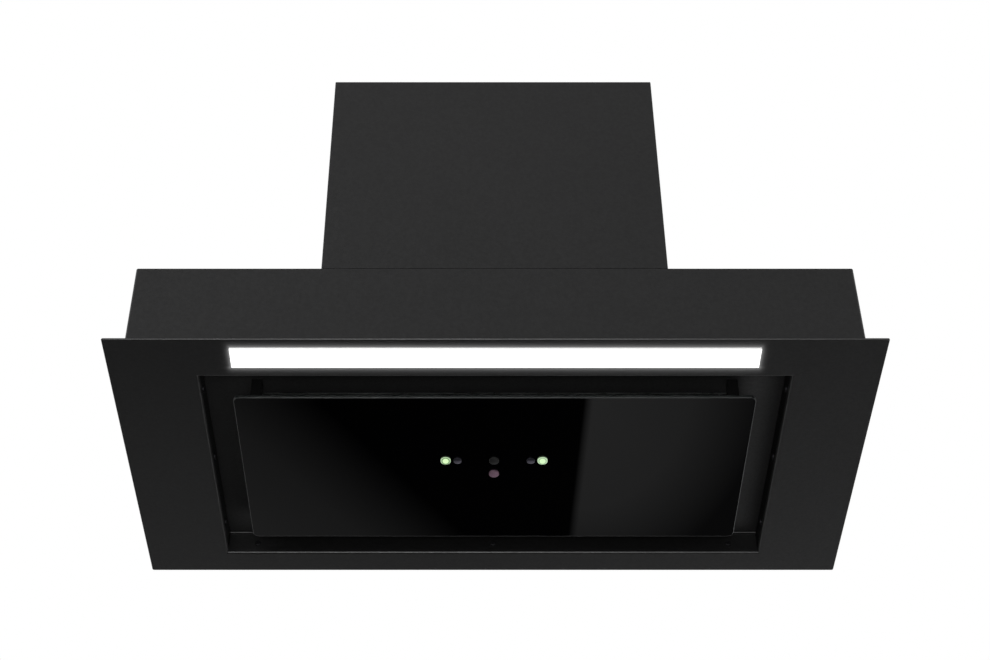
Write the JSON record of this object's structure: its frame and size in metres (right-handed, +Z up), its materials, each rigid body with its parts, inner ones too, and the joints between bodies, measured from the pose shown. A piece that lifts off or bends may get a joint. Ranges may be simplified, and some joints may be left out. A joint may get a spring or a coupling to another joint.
{
  "type": "range hood",
  "caption": "Built-in range hood: trim frame with a hinged black glass panel, light strip, grease filters, blower and duct collar.",
  "frame": {"origin": "under the middle of the visible underside, at the level of the lens tips, its lowest points", "axes": "+X to the right of a cook who faces the hood, +Y to the wall, +Z up to the duct"},
  "size_m": [0.59, 0.302, 0.341],
  "materials": {
    "black_steel": "matt black powder coat",
    "black_plastic": "fine-grained moulded plastic",
    "steel": "bright steel",
    "zinc_steel": "zinc-coated sheet steel",
    "iron": "stacked electrical steel",
    "copper": "enamelled copper wire",
    "white_plastic": "moulded plastic",
    "grey_plastic": "moulded plastic",
    "circuit_board": "green solder mask",
    "opal_light": "opal diffuser, lit",
    "aluminium": "satin aluminium",
    "cable_grey": "cable sheath",
    "rubber": "soft rubber",
    "black_glass": "polished black glass, opaque from behind",
    "carrier_steel": "matt black powder coat",
    "magnet": "nickel-plated magnet",
    "green_lens": "clear lens over a green light",
    "infrared_lens": "smoked infrared lens",
    "dark_window": "dark sensor window",
    "violet_window": "dark violet sensor window",
    "black_screw": "blackened steel",
    "mesh": "layered expanded aluminium mesh",
    "spring_steel": "spring steel"
  },
  "bodies": {
    "housing": {"trim_panel": "black_steel", "inner_frame": "black_steel", "lower_housing": "black_steel", "motor_housing": "black_steel", "motor_housing_base": "black_steel", "motor_housing_cover": "black_steel", "outlet_collar": "black_plastic", "damper_spindle": "steel", "scroll_wrap": "zinc_steel", "scroll_sides": "zinc_steel", "motor_casing": "zinc_steel", "motor_end_cap": "zinc_steel", "motor_bearings": "steel", "motor_stator": "iron", "motor_windings": "copper", "motor_bracket": "zinc_steel", "motor_screws": "steel", "run_capacitor": "white_plastic", "capacitor_clip": "zinc_steel", "control_box": "grey_plastic", "control_box_cover": "grey_plastic", "control_board": "circuit_board", "terminal_block": "white_plastic", "cable_entry_plate": "zinc_steel", "cable_gland": "black_plastic", "light_driver": "white_plastic", "light_diffuser": "opal_light", "light_channel": "aluminium", "led_board": "circuit_board", "light_cable": "cable_grey", "rubber_grommets": "rubber", "motor_cable": "cable_grey", "hinge_brackets": "zinc_steel", "hinge_pins": "steel", "panel_catches": "black_plastic", "catch_magnets": "magnet", "trim_screws": "steel", "case_screws": "black_screw", "filter_frame_left": "aluminium", "filter_mesh_left": "mesh", "latch_spring_left": "spring_steel", "filter_frame_right": "aluminium", "filter_mesh_right": "mesh", "latch_spring_right": "spring_steel"},
    "glass_door": {"glass_panel": "black_glass", "panel_carrier": "carrier_steel", "indicator_lenses": "green_lens", "infrared_lenses": "infrared_lens", "dark_window": "dark_window", "violet_window": "violet_window", "sensor_board": "circuit_board", "sensor_cover": "black_plastic"},
    "fan_wheel": {"impeller": "zinc_steel", "impeller_blades": "zinc_steel", "motor_shaft": "steel", "motor_rotor": "iron"},
    "flap_front": {"damper_flap_front": "black_plastic"},
    "flap_rear": {"damper_flap_rear": "black_plastic"},
    "latch_left": {"filter_latch_left": "black_plastic"},
    "latch_right": {"filter_latch_right": "black_plastic"}
  },
  "joints": [
    {"name": "glass_door_hinge", "type": "hinge", "parent": "housing", "child": "glass_door", "pos_m": [0, 0.096, 0.013], "axis": [1, 0, 0], "range_deg": [0, 85]},
    {"name": "fan_wheel_spin", "type": "hinge", "parent": "housing", "child": "fan_wheel", "pos_m": [0, -0.036, 0.2], "axis": [1, 0, 0], "continuous": true},
    {"name": "flap_front_swing", "type": "hinge", "parent": "housing", "child": "flap_front", "pos_m": [0, 0.0295, 0.315], "axis": [-1, 0, 0], "range_deg": [0, 75]},
    {"name": "flap_rear_swing", "type": "hinge", "parent": "housing", "child": "flap_rear", "pos_m": [0, 0.0295, 0.315], "axis": [1, 0, 0], "range_deg": [0, 75]},
    {"name": "filter_latch_left_slide", "type": "slide", "parent": "housing", "child": "latch_left", "axis": [0, 1, 0], "range_m": [0, 0.005], "stiffness_N_per_m": 300, "springref_m": -0.004, "deforming": ["latch_spring_left"]},
    {"name": "filter_latch_right_slide", "type": "slide", "parent": "housing", "child": "latch_right", "axis": [0, 1, 0], "range_m": [0, 0.005], "stiffness_N_per_m": 300, "springref_m": -0.004, "deforming": ["latch_spring_right"]}
  ]
}
